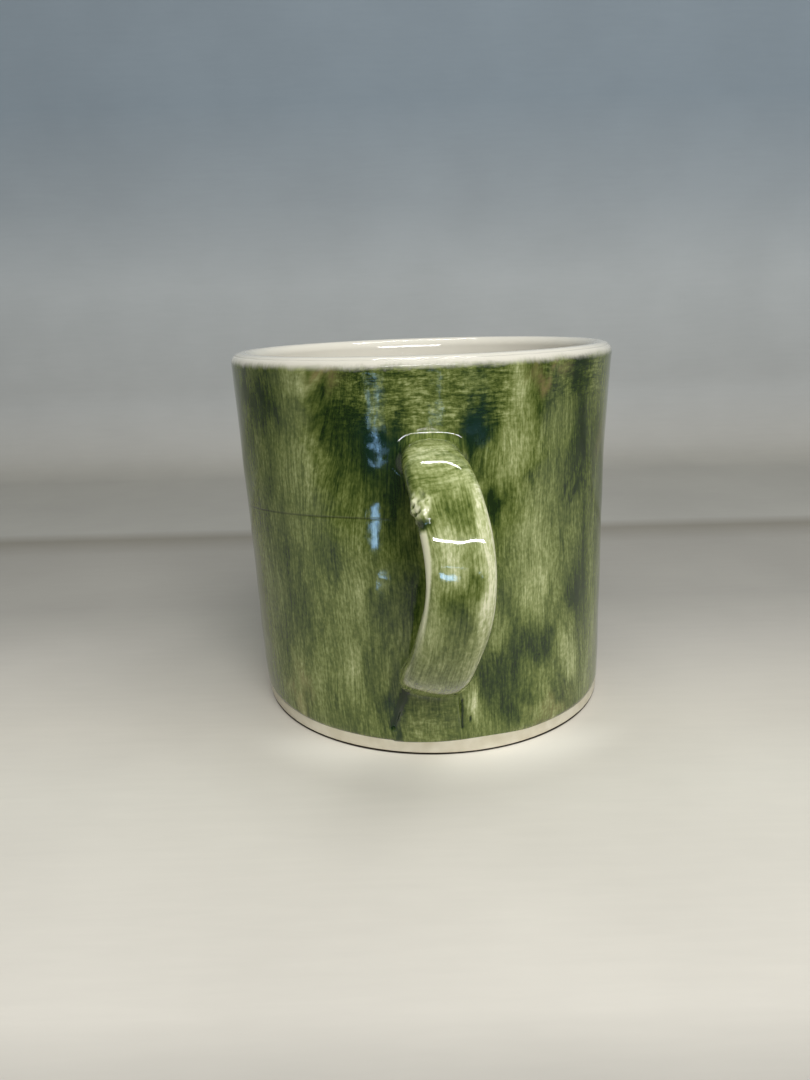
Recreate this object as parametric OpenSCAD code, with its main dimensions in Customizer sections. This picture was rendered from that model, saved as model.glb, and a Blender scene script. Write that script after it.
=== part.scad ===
// Hand-built ceramic mug with a strap handle.
// The vessel stands on the table plane z = 0, its axis starts at the origin and
// the handle points towards -Y.  All lengths are millimetres.

/* [Vessel] */
// Height of the rim above the table, glaze included
mug_height = 87.5; // [70:0.5:120]
// Radius of the finished outside at the foot
foot_radius = 43.8; // [38:0.1:60]
// How much the wall widens from the foot to the rim
wall_swell = 1.3; // [0:0.1:4]
// Extra outward flare just under the rim
rim_flare = 0.9; // [0:0.1:3]
// Thickness of the rolled clay wall
wall_thick = 4.4; // [3:0.1:7]
// Thickness of the clay disc that closes the bottom
base_thick = 5; // [4:0.5:8]
// Radius of the clay coil pressed into the inside corner
coil_radius = 6; // [3:0.5:10]
// Angle by which the hand-built vessel leans towards -X
lean = 1; // [0:0.1:3]

/* [Glaze] */
// Thickness of each coat of glaze
glaze_thick = 0.3; // [0.3:0.05:0.6]
// Height of the bare band wiped clean round the foot
foot_band = 3.5; // [2:0.5:4.5]

/* [Handle] */
// Height of the strap's centre line where it leaves the wall at the top
handle_top = 68; // [60:0.5:72]
// Height of the strap's centre line where it meets the wall at the bottom
handle_bottom = 18.5; // [14:0.5:24]
// Distance from the wall to the middle of the strap at its furthest
handle_reach = 27; // [22:0.5:40]
// Width of the strap
strap_width = 12.4; // [9:0.2:24]
// Thickness of the strap
strap_thick = 6; // [4:0.5:9]
// Sideways bow of the strap towards +X at half height
strap_bow = 5.4; // [0:0.1:8]
// Sideways place of both ends of the handle
strap_shift = -2.4; // [-5:0.1:5]
// Further sideways place of the upper end only
root_shift = 1.8; // [-3:0.1:3]
// How far the upper end sags where it leaves the wall
root_sag = 1.2; // [0:0.1:3]
// How much the strap widens on each side where it leaves the wall at the top
upper_flare = 7; // [0:0.5:10]
// How much the strap widens on each side where it meets the wall at the bottom
lower_flare = 1; // [0:0.5:6]
// Height of the lower edge of the clay tab pressed onto the wall under the strap
tab_low = 5.5; // [5:0.5:10]
// How far the pressed tab stands out from the wall
tab_thick = 1.6; // [1:0.1:3]

/* [Hidden] */

// Colours of the bare clay and of the two glazes
clay_colour = "#d9ceb0";
green_colour = "#6b7544";
liner_colour = "#ded6c6";

// Steps along the wall's height, round each quarter arc, and round the axis
wall_steps = 10;
arc_steps = 6;
$fn = 96;

// Depth by which a blank overshoots before it is trimmed, and depth of the trimming block
overshoot = 3;
trim_depth = 12;

// The crown is the half-round top edge of the clay wall
crown_radius = wall_thick / 2;
crown_z = mug_height - glaze_thick - crown_radius;

// Radius of the finished outside at height z
function finish_radius(z) =
    foot_radius + wall_swell * sqrt(z / mug_height) + rim_flare * pow(z / mug_height, 10);

// Radii of the outside and the inside of the clay wall at height z
function clay_outside(z) = finish_radius(z) - glaze_thick;
function clay_inside(z) = clay_outside(z) - wall_thick;

// Points of a circular arc from angle a to angle b
function arc(centre, radius, a, b) =
    [for (i = [0 : arc_steps])
        let (angle = a + (b - a) * i / arc_steps)
        centre + radius * [cos(angle), sin(angle)]];

function reversed(list) = [for (i = [len(list) - 1 : -1 : 0]) list[i]];

// Height of the top of the floor coil, and the centre of its hollow curve
coil_top = base_thick + coil_radius;
coil_centre = [clay_inside(coil_top) - coil_radius, coil_top];
crown_centre = [clay_outside(crown_z) - crown_radius, crown_z];

// Heights at which the wall's outline has a point, from the coil up to the crown
wall_heights = [for (i = [0 : wall_steps]) coil_top + (crown_z - coil_top) * i / wall_steps];

// Outside of the clay wall from the base to the crown
clay_outside_line = concat(
    [[clay_outside(base_thick), base_thick]],
    [for (z = wall_heights) [clay_outside(z), z]]
);

// Inside of the clay wall above the coil
function inside_line(inset) =
    [for (z = wall_heights) [clay_inside(z) - inset, z]];

// The whole glazed inside at a distance inset from the clay: floor, coil, wall and crown
function liner_line(inset) = concat(
    [[0, base_thick + inset]],
    arc(coil_centre, coil_radius - inset, -90, 0),
    inside_line(inset),
    arc(crown_centre, crown_radius + inset, 180, 0)
);

// Leans a piece about the centre of the foot
module leaning() {
    rotate([0, -lean, 0]) children();
}

// Removes everything below height z
module above(z) {
    difference() {
        children();
        translate([-2 * foot_radius, -2 * foot_radius, z - trim_depth])
            cube([4 * foot_radius, 4 * foot_radius, trim_depth]);
    }
}

// Filled outside of the clay vessel, against which the handle is trimmed
module clay_mass() {
    leaning() rotate_extrude()
        polygon(concat([[0, -overshoot], [clay_outside(base_thick), -overshoot]],
                       clay_outside_line, [[0, crown_z]]));
}

/* Handle run.  The centre line is one Bezier curve from wall to wall. */

// Wall radius at which the centre line starts and ends, inside the clay
anchor = foot_radius - overshoot;
strap_rings = 40;
strap_sides = 20;
// Pull of the curve near its ends, as multiples of the reach and as rises above the ends
leave_pull = 1.45;
leave_rise = 13;
return_pull = 1.55;
return_rise = 7;
// How sharply the sideways bow gathers at half height, and share of the run in which the shift
// and the sag of the upper end die away
bow_power = 2.5;
root_span = 0.12;
// Parts of the run, from 0 at the top to 1 at the bottom, that the two roots take up
upper_root_end = 0.125;
lower_root_start = 0.9;
// Share of the run over which a root flares, and how much of the flare thickens it
flare_span = 0.14;
flare_thick = 0.45;
// Share of the run by which the clay passes through the open ends of its glaze
end_pass = 0.01;
slope_step = 0.002;
// Roundness of the strap's section, where 2 is an ellipse and more is squarer
section_power = 2.8;
// Radius of the pressed tab's lower corners
tab_corner = 3;

// Control points as [distance from the axis, height]
run_controls = [
    [anchor, handle_top],
    [anchor + leave_pull * handle_reach, handle_top + leave_rise],
    [anchor + return_pull * handle_reach, handle_bottom + return_rise],
    [anchor, handle_bottom]
];

// 1 at the upper end, dying away along the run
function near_root(t) = exp(-pow(t / root_span, 2));

function run_point(t) =
    pow(1 - t, 3) * run_controls[0] + 3 * t * pow(1 - t, 2) * run_controls[1]
    + 3 * t * t * (1 - t) * run_controls[2] + pow(t, 3) * run_controls[3]
    - [0, root_sag * near_root(t)];

// Direction of the centre line, from two points close together on it
function run_slope(t) = run_point(t + slope_step) - run_point(t - slope_step);

// Sideways place of the centre line
function run_side(t) =
    strap_shift + strap_bow * pow(max(0, sin(180 * t)), bow_power) + root_shift * near_root(t);

// Extra half width at t where a root spreads onto the wall
function flare(t) =
    upper_flare * pow(max(0, 1 - t / flare_span), 2)
    + lower_flare * pow(max(0, 1 - (1 - t) / flare_span), 2);

// One ring of the section at t, grown outwards by grow
function run_ring(t, grow) =
    let (
        centre = run_point(t),
        slope = run_slope(t) / norm(run_slope(t)),
        half_width = strap_width / 2 + flare(t) + grow,
        half_thick = strap_thick / 2 + flare_thick * flare(t) + grow
    )
    [for (i = [0 : strap_sides - 1])
        let (
            angle = 360 * (i + 0.5) / strap_sides,
            across = half_width * sign(cos(angle)) * pow(abs(cos(angle)), 2 / section_power),
            outward = half_thick * sign(sin(angle)) * pow(abs(sin(angle)), 2 / section_power)
        )
        [run_side(t) + across, -(centre[0] - slope[1] * outward), centre[1] + slope[0] * outward]];

// Triangles that join each of the rings to the next
function skin(rings) =
    [for (i = [0 : rings - 2], j = [0 : strap_sides - 1], half = [0, 1])
        let (
            k = (j + 1) % strap_sides,
            a = i * strap_sides + j,
            b = i * strap_sides + k
        )
        half == 0 ? [b + strap_sides, b, a] : [a + strap_sides, b + strap_sides, a]];

// Places along the run from t_from to t_to
function run_steps(t_from, t_to) =
    let (count = ceil(strap_rings * (t_to - t_from)) + 1)
    [for (i = [0 : count]) t_from + (t_to - t_from) * i / count];

// Solid stretch of the handle from t_from to t_to
module run_solid(t_from, t_to, grow) {
    steps = run_steps(t_from, t_to);
    rings = len(steps);
    last = (rings - 1) * strap_sides;
    polyhedron(
        points = [for (t = steps) each run_ring(t, grow)],
        faces = concat(
            skin(rings),
            [[for (j = [0 : strap_sides - 1]) j]],
            [[for (j = [strap_sides - 1 : -1 : 0]) last + j]]
        )
    );
}

// Tab of clay pressed flat on the wall under the strap, grown outwards by grow
module pressed_tab(grow) {
    half_width = strap_width / 2 + grow;
    intersection() {
        leaning() rotate_extrude()
            polygon(concat(
                [[0, 0], [finish_radius(0) + tab_thick + grow, 0]],
                [for (z = [foot_band, handle_bottom])
                    [finish_radius(z) + tab_thick + grow, z]],
                [[0, handle_bottom]]
            ));
        translate([strap_shift, 0, 0]) rotate([90, 0, 0])
            linear_extrude(2 * foot_radius) {
                translate([-half_width, tab_low + tab_corner - grow])
                    square([2 * half_width, handle_bottom]);
                translate([-half_width + tab_corner, tab_low - grow])
                    square([2 * (half_width - tab_corner), handle_bottom]);
                for (side = [-1, 1])
                    translate([side * (half_width - tab_corner), tab_low + tab_corner - grow])
                        circle(tab_corner);
            }
    }
}

// The whole handle, from end_over before its start to end_over past its end
module handle_mass(end_over, grow) {
    run_solid(-end_over, 1 + end_over, grow);
    pressed_tab(grow);
}

/* Pieces */

// Clay disc that closes the bottom; its edge is the bare foot band
module base_slab() {
    color(clay_colour) above(0) leaning()
        translate([0, 0, -overshoot])
            cylinder(r = clay_outside(base_thick), h = base_thick + overshoot);
}

// Rolled clay wall with a half-round rim, standing on the disc
module wall_slab() {
    color(clay_colour) leaning() rotate_extrude()
        polygon(concat(
            clay_outside_line,
            arc(crown_centre, crown_radius, 0, 180),
            reversed(inside_line(0)),
            [[clay_inside(coil_top), base_thick]]
        ));
}

// Clay coil smoothed into the inside corner
module floor_coil() {
    color(clay_colour) leaning() rotate_extrude()
        polygon(concat(
            [[clay_inside(coil_top), base_thick]],
            reversed(arc(coil_centre, coil_radius, -90, 0))
        ));
}

// Pulled strap between the two roots
module handle_strap() {
    color(green_colour) run_solid(upper_root_end, lower_root_start, 0);
}

// Flared clay that joins the strap to the wall under the rim
module handle_upper_root() {
    color(green_colour) difference() {
        run_solid(0, upper_root_end, 0);
        clay_mass();
    }
}

// Flared clay that joins the strap to the wall above the foot
module handle_lower_root() {
    color(green_colour) difference() {
        union() {
            run_solid(lower_root_start, 1, 0);
            pressed_tab(0);
        }
        clay_mass();
    }
}

// Green coat over the outside of the wall, cut away where the handle joins it
module wall_glaze() {
    color(green_colour) above(foot_band) difference() {
        leaning() rotate_extrude()
            polygon(concat(
                [[finish_radius(base_thick), 0]],
                [for (p = clay_outside_line) p + [glaze_thick, 0]],
                reversed(clay_outside_line),
                [[clay_outside(base_thick), 0]]
            ));
        run_solid(0, upper_root_end, glaze_thick);
        run_solid(lower_root_start, 1, glaze_thick);
        pressed_tab(glaze_thick);
    }
}

// Green coat round the handle
module handle_glaze() {
    color(green_colour) difference() {
        handle_mass(0, glaze_thick);
        handle_mass(end_pass, 0);
        clay_mass();
    }
}

// Clear coat over the cream clay inside and over the rim
module liner_glaze() {
    color(liner_colour) leaning() rotate_extrude()
        polygon(concat(liner_line(0), reversed(liner_line(glaze_thick))));
}

base_slab();
wall_slab();
floor_coil();
handle_strap();
handle_upper_root();
handle_lower_root();
wall_glaze();
handle_glaze();
liner_glaze();
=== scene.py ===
"""Looks of a hand-built ceramic mug: brushed green glaze outside, cream glaze inside, bare clay foot.

Lengths in the shape functions are millimetres and become metres when a mesh is made.
Angles run round the mug's axis from the handle (-Y), positive towards +X, in radians.
"""
import math

import bpy
import numpy as np
from mathutils import Matrix, Vector


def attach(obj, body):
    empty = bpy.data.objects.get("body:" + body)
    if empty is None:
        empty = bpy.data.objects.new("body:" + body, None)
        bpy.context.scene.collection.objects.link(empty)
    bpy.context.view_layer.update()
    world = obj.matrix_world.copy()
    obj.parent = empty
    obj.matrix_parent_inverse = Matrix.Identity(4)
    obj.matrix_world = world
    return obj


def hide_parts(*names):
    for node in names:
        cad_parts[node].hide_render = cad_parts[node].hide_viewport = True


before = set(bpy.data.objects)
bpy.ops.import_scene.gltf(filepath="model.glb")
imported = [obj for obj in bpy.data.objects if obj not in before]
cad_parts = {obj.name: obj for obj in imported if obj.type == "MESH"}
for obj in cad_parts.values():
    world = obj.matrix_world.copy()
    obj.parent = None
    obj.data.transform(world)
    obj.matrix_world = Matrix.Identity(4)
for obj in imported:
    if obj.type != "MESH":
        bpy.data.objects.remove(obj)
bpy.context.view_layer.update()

MM = 0.001  # metres

# -------- camera

CAMERA_PLACE = (-0.0066, -0.2048, 0.0968)
CAMERA_PITCH = math.radians(16.1)
CAMERA_ROLL = math.radians(-1.5)
CAMERA_LENS = 27.03


def make_camera():
    data = bpy.data.cameras.new("camera")
    data.sensor_width = 36
    data.lens = CAMERA_LENS
    data.clip_start = 0.005
    camera = bpy.data.objects.new("camera", data)
    turn = Matrix.Rotation(math.pi / 2 - CAMERA_PITCH, 4, "X") @ Matrix.Rotation(CAMERA_ROLL, 4, "Z")
    camera.matrix_world = Matrix.Translation(CAMERA_PLACE) @ turn
    bpy.context.scene.collection.objects.link(camera)
    bpy.context.scene.camera = camera


make_camera()

# -------- driving dimensions, mm

HEIGHT = 87.5
FOOT_RADIUS = 43.8
WALL_RADIUS = 45.0  # nominal, for turning angles into millimetres along the wall
WALL_SWELL = 1.3
RIM_FLARE = 0.9
RIM_TILT = 0.008
LEAN = 1.75
LEAN_HEIGHT = 35.0
WALL_THICK = 4.4
GLAZE = 0.3
CLAY_GAP = 0.1  # between the clay and the glaze that hides it
BASE_THICK = 5.0
COIL_RADIUS = 6.0
COIL_TOP = BASE_THICK + COIL_RADIUS
FOOT_BAND = 3.5
RIM_ROUND = WALL_THICK / 2 + GLAZE
CROWN_HEIGHT = HEIGHT - RIM_ROUND
CROWN_SEAM = math.radians(50)  # where the two glazes meet on the rim

# -------- smooth random fields


def smooth_noise(points, size, seed):
    """Smooth noise, mostly in -1..1, at 3-D points, with features about `size` across."""
    rng = np.random.default_rng(seed)
    total = np.zeros(points.shape[:-1])
    waves = 14
    for _ in range(waves):
        direction = rng.normal(size=3)
        direction /= np.linalg.norm(direction)
        rate = 2 * math.pi / size * rng.uniform(0.6, 1.4)
        total += np.sin(points @ (direction * rate) + rng.uniform(0, 2 * math.pi))
    return total / math.sqrt(waves)


def smooth_step(low, high, x):
    t = np.clip((x - low) / (high - low), 0, 1)
    return t * t * (3 - 2 * t)


def hump(x, centre, width):
    """1 at the centre, fading to 0 on both sides."""
    return np.exp(-(((x - centre) / width) ** 2))


# -------- the wall's surface


def outside_radius(height):
    """Radius of the glazed wall without its waves and its tab."""
    share = np.clip(height, 0, None) / HEIGHT
    return FOOT_RADIUS + WALL_SWELL * np.sqrt(share) + RIM_FLARE * share**10


def centre_shift(height):
    """The hand-built wall leans towards -X, most of it near the foot."""
    return -LEAN * (1 - np.exp(-np.clip(height, 0, None) / LEAN_HEIGHT))


def around_points(angle, height):
    """Points at the wall's nominal radius, for noise and brush strokes that run round the mug."""
    x, y = WALL_RADIUS * np.sin(angle), -WALL_RADIUS * np.cos(angle)
    return np.stack([x, y, height + 0 * angle], -1)


def unevenness(angle, height):
    """Broad hand-made waves in the wall."""
    points = around_points(angle, height)
    fade = smooth_step(0, 12, height) * (1 - 0.6 * smooth_step(CROWN_HEIGHT - 8, HEIGHT, height))
    return fade * (0.16 * smooth_noise(points, 40, 3) + 0.05 * smooth_noise(points, 13, 4))


def place(angle, height, radius):
    """Point at an angle and height on the mug, at a distance from its leaning axis."""
    x = radius * np.sin(angle) + centre_shift(height)
    y = -radius * np.cos(angle)
    z = height * (1 + RIM_TILT * x / HEIGHT)
    return np.stack([x, y, z + 0 * x], -1)


def locate(points):
    """Angle, height and distance from the axis of points on or near the mug."""
    height = points[..., 2] / (1 + RIM_TILT * points[..., 0] / HEIGHT)
    x = points[..., 0] - centre_shift(height)
    return np.arctan2(x, -points[..., 1]), height, np.hypot(x, points[..., 1])


# Tab of clay pressed on the wall under the handle
TAB_SIDE = -2.0
TAB_HALF = 6.6
TAB_LOW = 5.0
TAB_THICK = 1.3
TAB_FADE = (13, 28)  # heights between which its top runs out under the handle's lower root

# Tool marks beside the tab: start and end (mm across from the handle's plane, height), then half
# width and depth
TAB_GROOVES = [
    ((-6.6, 16.6), (-10.3, 7.0), 0.80, 0.70),
    ((5.75, 13.6), (5.5, 6.8), 0.22, 0.42),
    ((7.5, 9.3), (7.4, 8.2), 0.20, 0.15),
]


def groove(across, height, start, end, half_width):
    """1 along a straight mark on the wall, fading to 0 at its sides and ends."""
    start, end = np.array(start), np.array(end)
    line = end - start
    length = np.hypot(*line)
    share = ((across - start[0]) * line[0] + (height - start[1]) * line[1]) / length**2
    near = np.clip(share, 0, 1)
    aside = np.hypot(across - start[0] - near * line[0], height - start[1] - near * line[1])
    return hump(aside, 0, half_width)


def tab_relief(angle, height):
    """How far the pressed tab stands out of the wall, less its tool marks."""
    across = angle * WALL_RADIUS
    on_tab = across - TAB_SIDE
    left = smooth_step(-TAB_HALF - 2.2, -TAB_HALF + 1.6, on_tab)
    right = 1 - smooth_step(TAB_HALF - 0.2, TAB_HALF + 0.8, on_tab)
    rise = smooth_step(TAB_LOW, TAB_LOW + 9, height) * (1 - smooth_step(*TAB_FADE, height))
    relief = TAB_THICK * left * right * rise
    for start, end, half_width, depth in TAB_GROOVES:
        relief = relief - depth * groove(across, height, start, end, half_width)
    return relief


def wall_radius(angle, height):
    """Distance of the finished outside from the axis."""
    front = np.cos(angle) > 0.5
    relief = np.where(front, tab_relief(angle, height), 0)
    return outside_radius(height) + unevenness(angle, height) + relief


# -------- mesh helpers


def build(name, points, faces, attributes=None):
    """A mesh object from points in millimetres."""
    mesh = bpy.data.meshes.new(name)
    mesh.from_pydata((points * MM).tolist(), [], faces)
    mesh.validate()
    mesh.polygons.foreach_set("use_smooth", [True] * len(mesh.polygons))
    for key, values in (attributes or {}).items():
        kind, field = ("FLOAT_VECTOR", "vector") if np.ndim(values) == 2 else ("FLOAT", "value")
        layer = mesh.attributes.new(key, kind, "POINT")
        layer.data.foreach_set(field, np.asarray(values, np.float32).ravel())
    mesh.update()
    piece = bpy.data.objects.new(name, mesh)
    bpy.context.scene.collection.objects.link(piece)
    return piece


def belt(first, second, columns):
    """Quads between two closed rings of points, which start at these indices."""
    steps = [(j, (j + 1) % columns) for j in range(columns)]
    return [(first + j, first + k, second + k, second + j) for j, k in steps]


def ring_faces(rows, columns, first=0, flip=False):
    """Quads of a grid whose columns close on themselves."""
    faces = []
    for start in range(first, first + (rows - 1) * columns, columns):
        faces += belt(start, start + columns, columns)
    return [quad[::-1] for quad in faces] if flip else faces


def shell(name, outer, inner, attributes=None):
    """Closed tube-like skin between two grids of rows x columns points."""
    rows, columns = outer.shape[:2]
    count = rows * columns
    faces = ring_faces(rows, columns) + ring_faces(rows, columns, count, True)
    last = (rows - 1) * columns
    faces += belt(count, 0, columns) + belt(last, count + last, columns)
    points = np.concatenate([outer.reshape(-1, 3), inner.reshape(-1, 3)])
    doubled = {}
    for key, values in (attributes or {}).items():
        flat = values.reshape(count, -1).squeeze()
        doubled[key] = np.concatenate([flat, flat])
    return build(name, points, faces, doubled)


def solid_of_rings(name, rings):
    """Closed solid from a stack of rings, with a flat fan over each end."""
    rows, columns = rings.shape[:2]
    faces = ring_faces(rows, columns)
    points = np.concatenate([rings.reshape(-1, 3), rings[0].mean(0)[None], rings[-1].mean(0)[None]])
    start, end = rows * columns, rows * columns + 1
    last = (rows - 1) * columns
    for j in range(columns):
        k = (j + 1) % columns
        faces.append((k, j, start))
        faces.append((last + j, last + k, end))
    return build(name, points, faces)


# -------- paint: where the green lies

# Brush marks on the wall, some of them painted shade: angle in degrees, height, half width and half
# height in mm, and strength (positive where the green lies thick or painted shade darkens the wall,
# negative where the green is thin).
BRUSH_AND_SHADE_MARKS = [
    # left of the handle
    (-60, 81, 4, 4, 0.30), (-50, 76, 5, 4, 0.32), (-48, 84, 3, 3, 0.18), (-43, 78, 3, 8, 0.16),
    (-38, 75, 3, 4, 0.10), (-25, 76, 5, 4.5, 0.36), (-60, 68, 2, 5, 0.15), (-50, 58, 5, 5, 0.10),
    # painted shade: the marks at (-15, 71), (-9, 62) and (-7, 45) darken the wall where the handle
    # shades it beside its root and strap
    (-23, 63, 4, 8, 0.15), (-15, 71, 4.5, 6, 0.40), (-9, 62, 3.4, 8, 0.32), (-7, 45, 4, 12, 0.12),
    (-5, 38, 2, 8, 0.22), (-26, 45, 3, 4, 0.15), (-46, 45, 5, 5, 0.12), (-43, 35, 4, 6, 0.15),
    (-14, 33, 3, 4.5, 0.30), (-38, 28, 3, 3, 0.10), (-50, 22, 2.5, 6, 0.15), (-19, 21, 2, 6, 0.12),
    (-13, 13, 2.5, 5, 0.32), (-43, 6, 4, 2.5, 0.12), (-17, 84, 6, 3, 0.20),
    (-33, 84, 4.5, 3.5, -0.28), (-56, 84, 2.5, 2.5, -0.10), (-37, 60, 5, 12, -0.15),
    (-31, 68, 3, 5, -0.12), (-22, 50, 4, 6, -0.08), (-20, 40, 3.5, 5, -0.24), (-34, 18, 4, 9, -0.15),
    (-24, 18, 2.5, 7, -0.20), (-57, 18, 3, 8, -0.10), (-47, 12, 4, 4, -0.12), (-6, 7, 4, 2.5, -0.16),
    (-10, 28, 1.5, 4, -0.10),
    # right of the handle
    (13, 74.5, 3.6, 5.5, 0.62), (38, 62, 14, 22, 0.05), (11, 83, 5, 3, 0.15), (17, 59, 2.2, 4, 0.50),
    (34, 79, 3.5, 3.5, 0.18),
    (46, 83, 4.5, 4, 0.38), (50, 70, 3, 12, 0.28), (43, 64, 7, 4, 0.16), (28, 63, 2.3, 2.5, 0.26),
    (47, 55.5, 7, 1.4, 0.38), (40, 48, 2, 8, 0.12), (53, 47, 3, 6, 0.22), (48, 32, 3, 6, 0.32),
    (52, 38, 2, 5, 0.20), (28, 24, 6.5, 6, 0.28), (23, 12, 4, 4, 0.32), (21, 20, 3, 8, 0.20),
    (16, 19, 2.5, 6, 0.28), (36, 24, 4, 4, 0.15), (42, 10, 3, 3, 0.16), (20, 35, 3, 3, 0.15),
    (52, 18, 4, 10, 0.12), (24, 82, 2.3, 4, -0.26), (24, 68, 4.5, 8, -0.25), (13, 64, 2, 3.5, -0.22),
    (30, 50, 7, 7, -0.24), (31, 40, 5, 5, -0.26), (18, 30, 1.2, 4, -0.28), (20, 22, 1.1, 5, -0.22),
    (43, 22, 3, 5, -0.26), (46, 15, 3, 5, -0.26), (11, 13, 2.0, 5, -0.32), (45, 42, 3, 6, -0.15),
    (58, 42, 2.5, 6, -0.10), (33, 14, 3, 4, -0.16), (63, 20, 5, 12, -0.15), (35, 6.5, 8, 2.5, -0.14),
    # above the handle, then the sides and the back
    (2, 78, 15, 6, -0.13), (4, 84.5, 12, 1.5, -0.06), (100, 60, 9, 12, 0.25), (120, 30, 8, 10, -0.22),
    (140, 68, 7, 10, 0.28), (165, 40, 10, 14, 0.20), (180, 75, 8, 7, -0.22), (-160, 25, 9, 8, 0.25),
    (-140, 60, 7, 14, -0.20), (-115, 40, 8, 12, 0.22), (-95, 72, 7, 8, -0.15), (-90, 18, 9, 8, 0.12),
    (85, 20, 7, 8, 0.18), (110, 12, 9, 5, 0.18), (78, 70, 4, 14, -0.12), (-125, 80, 8, 4, 0.24),
    (-78, 45, 4, 16, 0.12), (152, 15, 7, 7, -0.20), (-172, 55, 5, 9, 0.18), (130, 84, 6, 3, -0.20),
]

# Where the glaze ran thick and went blue-green, partly painted shade in the recesses beside the
# handle's upper root, and where bare body tints it brown: angle, height, half width, half height,
# strength
POOLS_AND_SHADE = [
    (-13.5, 71.5, 4.5, 4.0, 1.1), (-9.5, 64, 2.5, 6, 0.35), (12.5, 74.5, 3.4, 4.5, 1.0),
    (46, 83, 3, 3, 0.20), (48, 31, 2.5, 4, 0.10), (-13, 10, 1.8, 4, 0.8), (164, 44, 5, 6, 0.3),
    (-118, 42, 5, 6, 0.3),
]
BROWNS = [
    (-27, 84.3, 3.0, 2.2, 1.0), (-46, 11, 4, 4, 0.55), (33, 84.8, 5, 1.4, 0.8), (-70, 30, 8, 20, 0.3),
    (37, 6, 6, 2.5, 0.4), (62, 66, 3, 5, 0.4), (128, 84, 5, 2, 0.7), (-150, 9, 6, 4, 0.5),
]


def add_marks(marks, angle, height, wander=1.0):
    """Sum of soft spots with uneven outlines."""
    points = around_points(angle, height)
    streaky = points * np.array([1, 1, 0.25])
    shift_across = wander * (0.7 * smooth_noise(streaky, 7, 23) + 0.3 * smooth_noise(streaky, 3, 25))
    shift_up = wander * (2.6 * smooth_noise(streaky, 5, 24) + 1.6 * smooth_noise(streaky, 2.2, 26))
    total = 0 * angle + 0 * height
    for mark_angle, mark_height, wide, tall, strength in marks:
        turn = (angle - math.radians(mark_angle) + math.pi) % (2 * math.pi) - math.pi
        across = turn * WALL_RADIUS + shift_across
        up = height - mark_height + shift_up
        total = total + strength * np.exp(-((across / wide) ** 2) - (up / tall) ** 2)
    return total


def wall_paint(angle, height):
    """Amount of green on the wall, in 0..1, with painted shade beside the handle, before the fine
    strokes are added.
    """
    points = around_points(angle, height)
    flat = points * np.array([1, 1, 0.35])
    paint = 0.63 + 0.045 * smooth_noise(flat, 11, 21) + 0.03 * smooth_noise(points, 24, 22)
    across = angle * WALL_RADIUS
    for start, end, half_width, _ in TAB_GROOVES:
        paint = paint + 0.6 * groove(across, height, start, end, half_width)
    return paint + add_marks(BRUSH_AND_SHADE_MARKS, angle, height)


def between(x, low, full, level, high):
    """0 below low, 1 from full to level, 0 again above high."""
    return smooth_step(low, full, x) * (1 - smooth_step(level, high, x))


def crosswise(angle, height):
    """How far the brush went round the mug: most above the handle, less on its right and on the tab."""
    degrees = np.degrees(angle)
    above = between(degrees, -32, -16, 16, 30) * smooth_step(70, 76, height)
    corner = between(degrees, 26, 34, 56, 66) * smooth_step(74, 80, height)
    tab = between(degrees, -12, -9, 4, 7) * (1 - smooth_step(13, 17, height))
    return above + 0.75 * corner + 0.5 * tab


def brush_place(angle, height):
    """Coordinates in which every upright stroke runs along the third axis."""
    degrees = np.degrees(angle)
    slant = 0.26 * hump(degrees, -25, 9) * smooth_step(36, 60, height) - 0.10 * hump(degrees, 48, 9)
    return around_points(angle - slant * (height - 55) / WALL_RADIUS, height)


def wall_attributes(points):
    angle, height, _ = locate(points)
    return {
        "paint": wall_paint(angle, height),
        "crosswise": crosswise(angle, height),
        "pool_and_shade": add_marks(POOLS_AND_SHADE, angle, height, 0.7),
        "brown": add_marks(BROWNS, angle, height),
        "turn": np.degrees(angle),
        "height": height,
        "brush": brush_place(angle, height),
    }


# -------- vessel pieces


def wall_angles():
    """Angles round the wall, closer together at the handle; the steps here are in degrees."""
    close = np.arange(0, 16, 0.32)
    middle = np.arange(16, 75, 1.1)
    far = np.linspace(75, 180, 60)
    half = np.concatenate([close, middle, far])
    return np.radians(np.concatenate([-half[:0:-1], half])[:-1])


def make_wall_glaze():
    angles = wall_angles()
    dense_top = 27  # rows lie closer together below this, where the tab is
    low_heights = np.linspace(FOOT_BAND, dense_top, 58)[:-1]
    heights = np.concatenate([low_heights, np.linspace(dense_top, CROWN_HEIGHT, 72)])
    angle, height = np.meshgrid(angles, heights)
    # the lower edge is uneven, with one small step left of the handle, and feathers out
    step = -0.22 * smooth_step(-13.6, -13.2, np.degrees(angle))
    step = step + 0.10 * np.sin(5 * angle) + 0.07 * np.sin(11 * angle)
    height = height + step * (1 - smooth_step(FOOT_BAND, FOOT_BAND + 2, height))
    radius = wall_radius(angle, height)
    feather = smooth_step(-0.05, 0.9, height - FOOT_BAND - step)
    outer = place(angle, height, radius - GLAZE * (1 - feather) * 0.9)
    inner = place(angle, height, radius - GLAZE)
    # the last few rows follow the rounding of the rim
    centre = wall_radius(angles, CROWN_HEIGHT) - RIM_ROUND
    turns = np.linspace(0, CROWN_SEAM, 9)[1:]
    outer_crown, inner_crown = [
        [place(angles, CROWN_HEIGHT + size * math.sin(t), centre + size * math.cos(t)) for t in turns]
        for size in (RIM_ROUND, RIM_ROUND - GLAZE)
    ]
    outer = np.concatenate([outer, np.array(outer_crown)])
    inner = np.concatenate([inner, np.array(inner_crown)])
    return shell("wall_glaze", outer, inner, wall_attributes(outer))


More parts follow.
